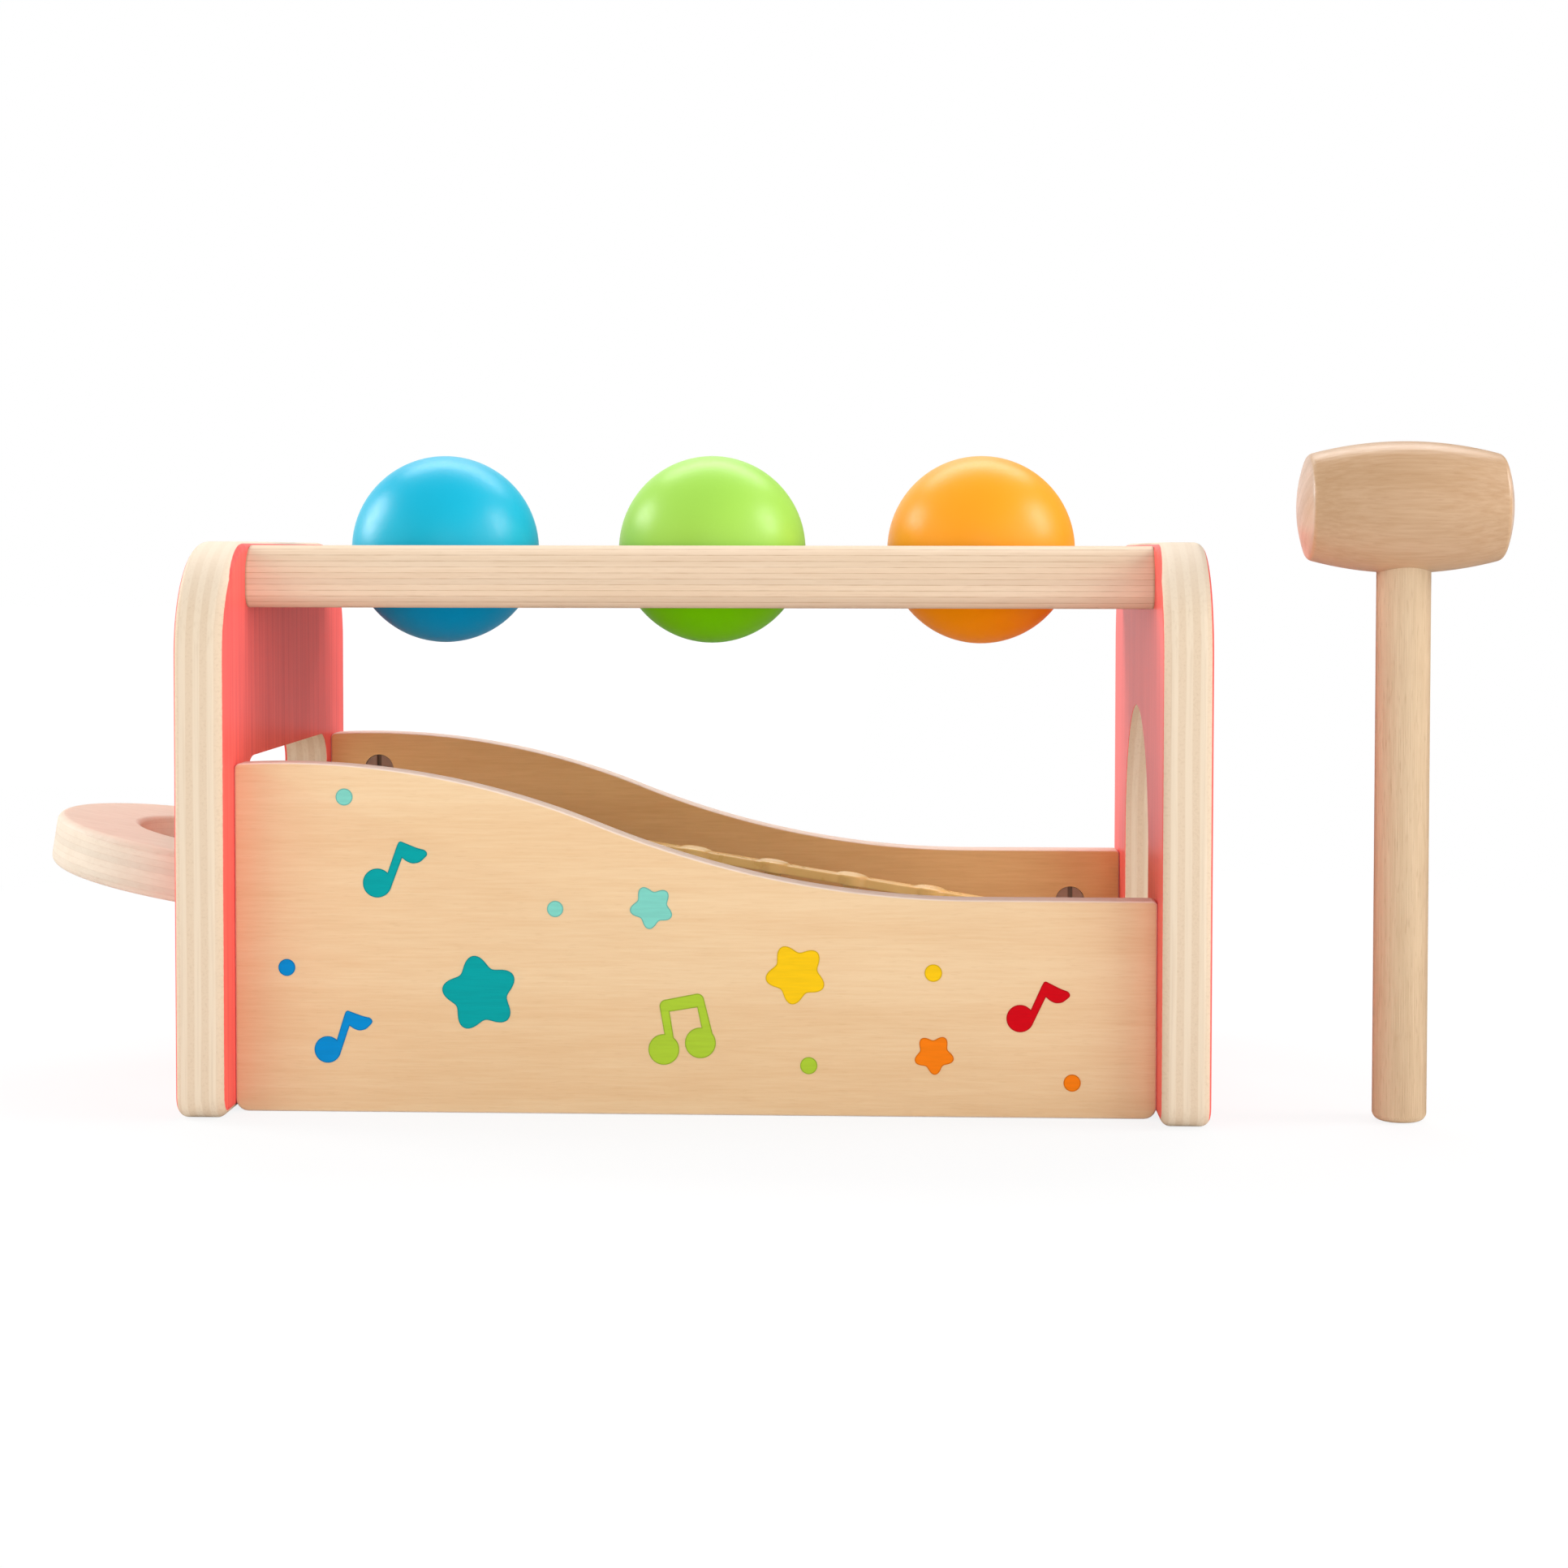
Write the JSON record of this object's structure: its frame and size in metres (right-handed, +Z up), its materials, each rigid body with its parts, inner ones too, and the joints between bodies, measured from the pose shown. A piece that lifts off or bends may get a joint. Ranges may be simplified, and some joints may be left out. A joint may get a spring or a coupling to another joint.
{
  "type": "ball pounding xylophone",
  "caption": "Wooden pounding bench: balls held in elastic rings are knocked through onto a sloping pull-out metal-bar xylophone and roll out of an arch, with a wooden mallet.",
  "frame": {"origin": "on the floor, under the middle of the whole set of bench, pulled-in xylophone and mallet", "axes": "+X along the bench from the xylophone's finger loop to the mallet, +Y from the front to the back, +Z up"},
  "size_m": [0.3652, 0.148, 0.1614],
  "materials": {
    "coral_ply": "satin coral paint on the faces, bare plywood edges",
    "laminated_top": "bare laminated wood, clear matt lacquer",
    "side_ply": "basswood plywood, clear matt lacquer",
    "rail_wood": "bare beech",
    "board_ply": "birch plywood, clear matt lacquer",
    "elastic": "smooth pale elastic",
    "zinc_steel": "dull zinc plate",
    "dowel_wood": "bare beech",
    "bar_metal": "satin metal, eased edges",
    "cream_plastic": "glossy moulded plastic",
    "felt": "pressed felt",
    "blue_paint": "semi-gloss paint on wood",
    "green_paint": "semi-gloss paint on wood",
    "orange_paint": "semi-gloss paint on wood",
    "mallet_wood": "turned wood, clear matt lacquer"
  },
  "bodies": {
    "bench": {"left_end_panel": "coral_ply", "right_end_panel": "coral_ply", "top_board": "laminated_top", "front_panel": "side_ply", "back_panel": "side_ply", "front_rail": "rail_wood", "back_rail": "rail_wood", "ring_left": "elastic", "ring_middle": "elastic", "ring_right": "elastic", "side_bolts": "zinc_steel", "top_bolts": "zinc_steel", "side_barrel_nuts": "zinc_steel", "top_barrel_nuts": "zinc_steel", "side_dowels": "dowel_wood", "top_dowels": "dowel_wood"},
    "xylophone": {"xylophone_board": "board_ply", "bar_1": "bar_metal", "bar_2": "bar_metal", "bar_3": "bar_metal", "bar_4": "bar_metal", "bar_5": "bar_metal", "bar_6": "bar_metal", "bar_7": "bar_metal", "bar_8": "bar_metal", "front_strip": "cream_plastic", "back_strip": "cream_plastic", "front_felt": "felt", "back_felt": "felt"},
    "blue_ball": {"blue_ball": "blue_paint"},
    "green_ball": {"green_ball": "green_paint"},
    "orange_ball": {"orange_ball": "orange_paint"},
    "mallet": {"mallet_head": "mallet_wood", "mallet_handle": "mallet_wood"}
  },
  "joints": [
    {"name": "xylophone_pull", "type": "slide", "parent": "bench", "child": "xylophone", "axis": [-0.987, 0, 0.1607], "range_m": [0, 0.29]},
    {"name": "blue_ball_knock", "type": "slide", "parent": "bench", "child": "blue_ball", "axis": [0, 0, 1], "range_m": [-0.052, 0.05], "deforming": ["ring_left"]},
    {"name": "green_ball_knock", "type": "slide", "parent": "bench", "child": "green_ball", "axis": [0, 0, 1], "range_m": [-0.0634, 0.05], "deforming": ["ring_middle"]},
    {"name": "orange_ball_knock", "type": "slide", "parent": "bench", "child": "orange_ball", "axis": [0, 0, 1], "range_m": [-0.0747, 0.05], "deforming": ["ring_right"]},
    {"name": "mallet_lift", "type": "slide", "parent": "bench", "child": "mallet", "axis": [0, 0, 1], "range_m": [0, 0.15]}
  ]
}
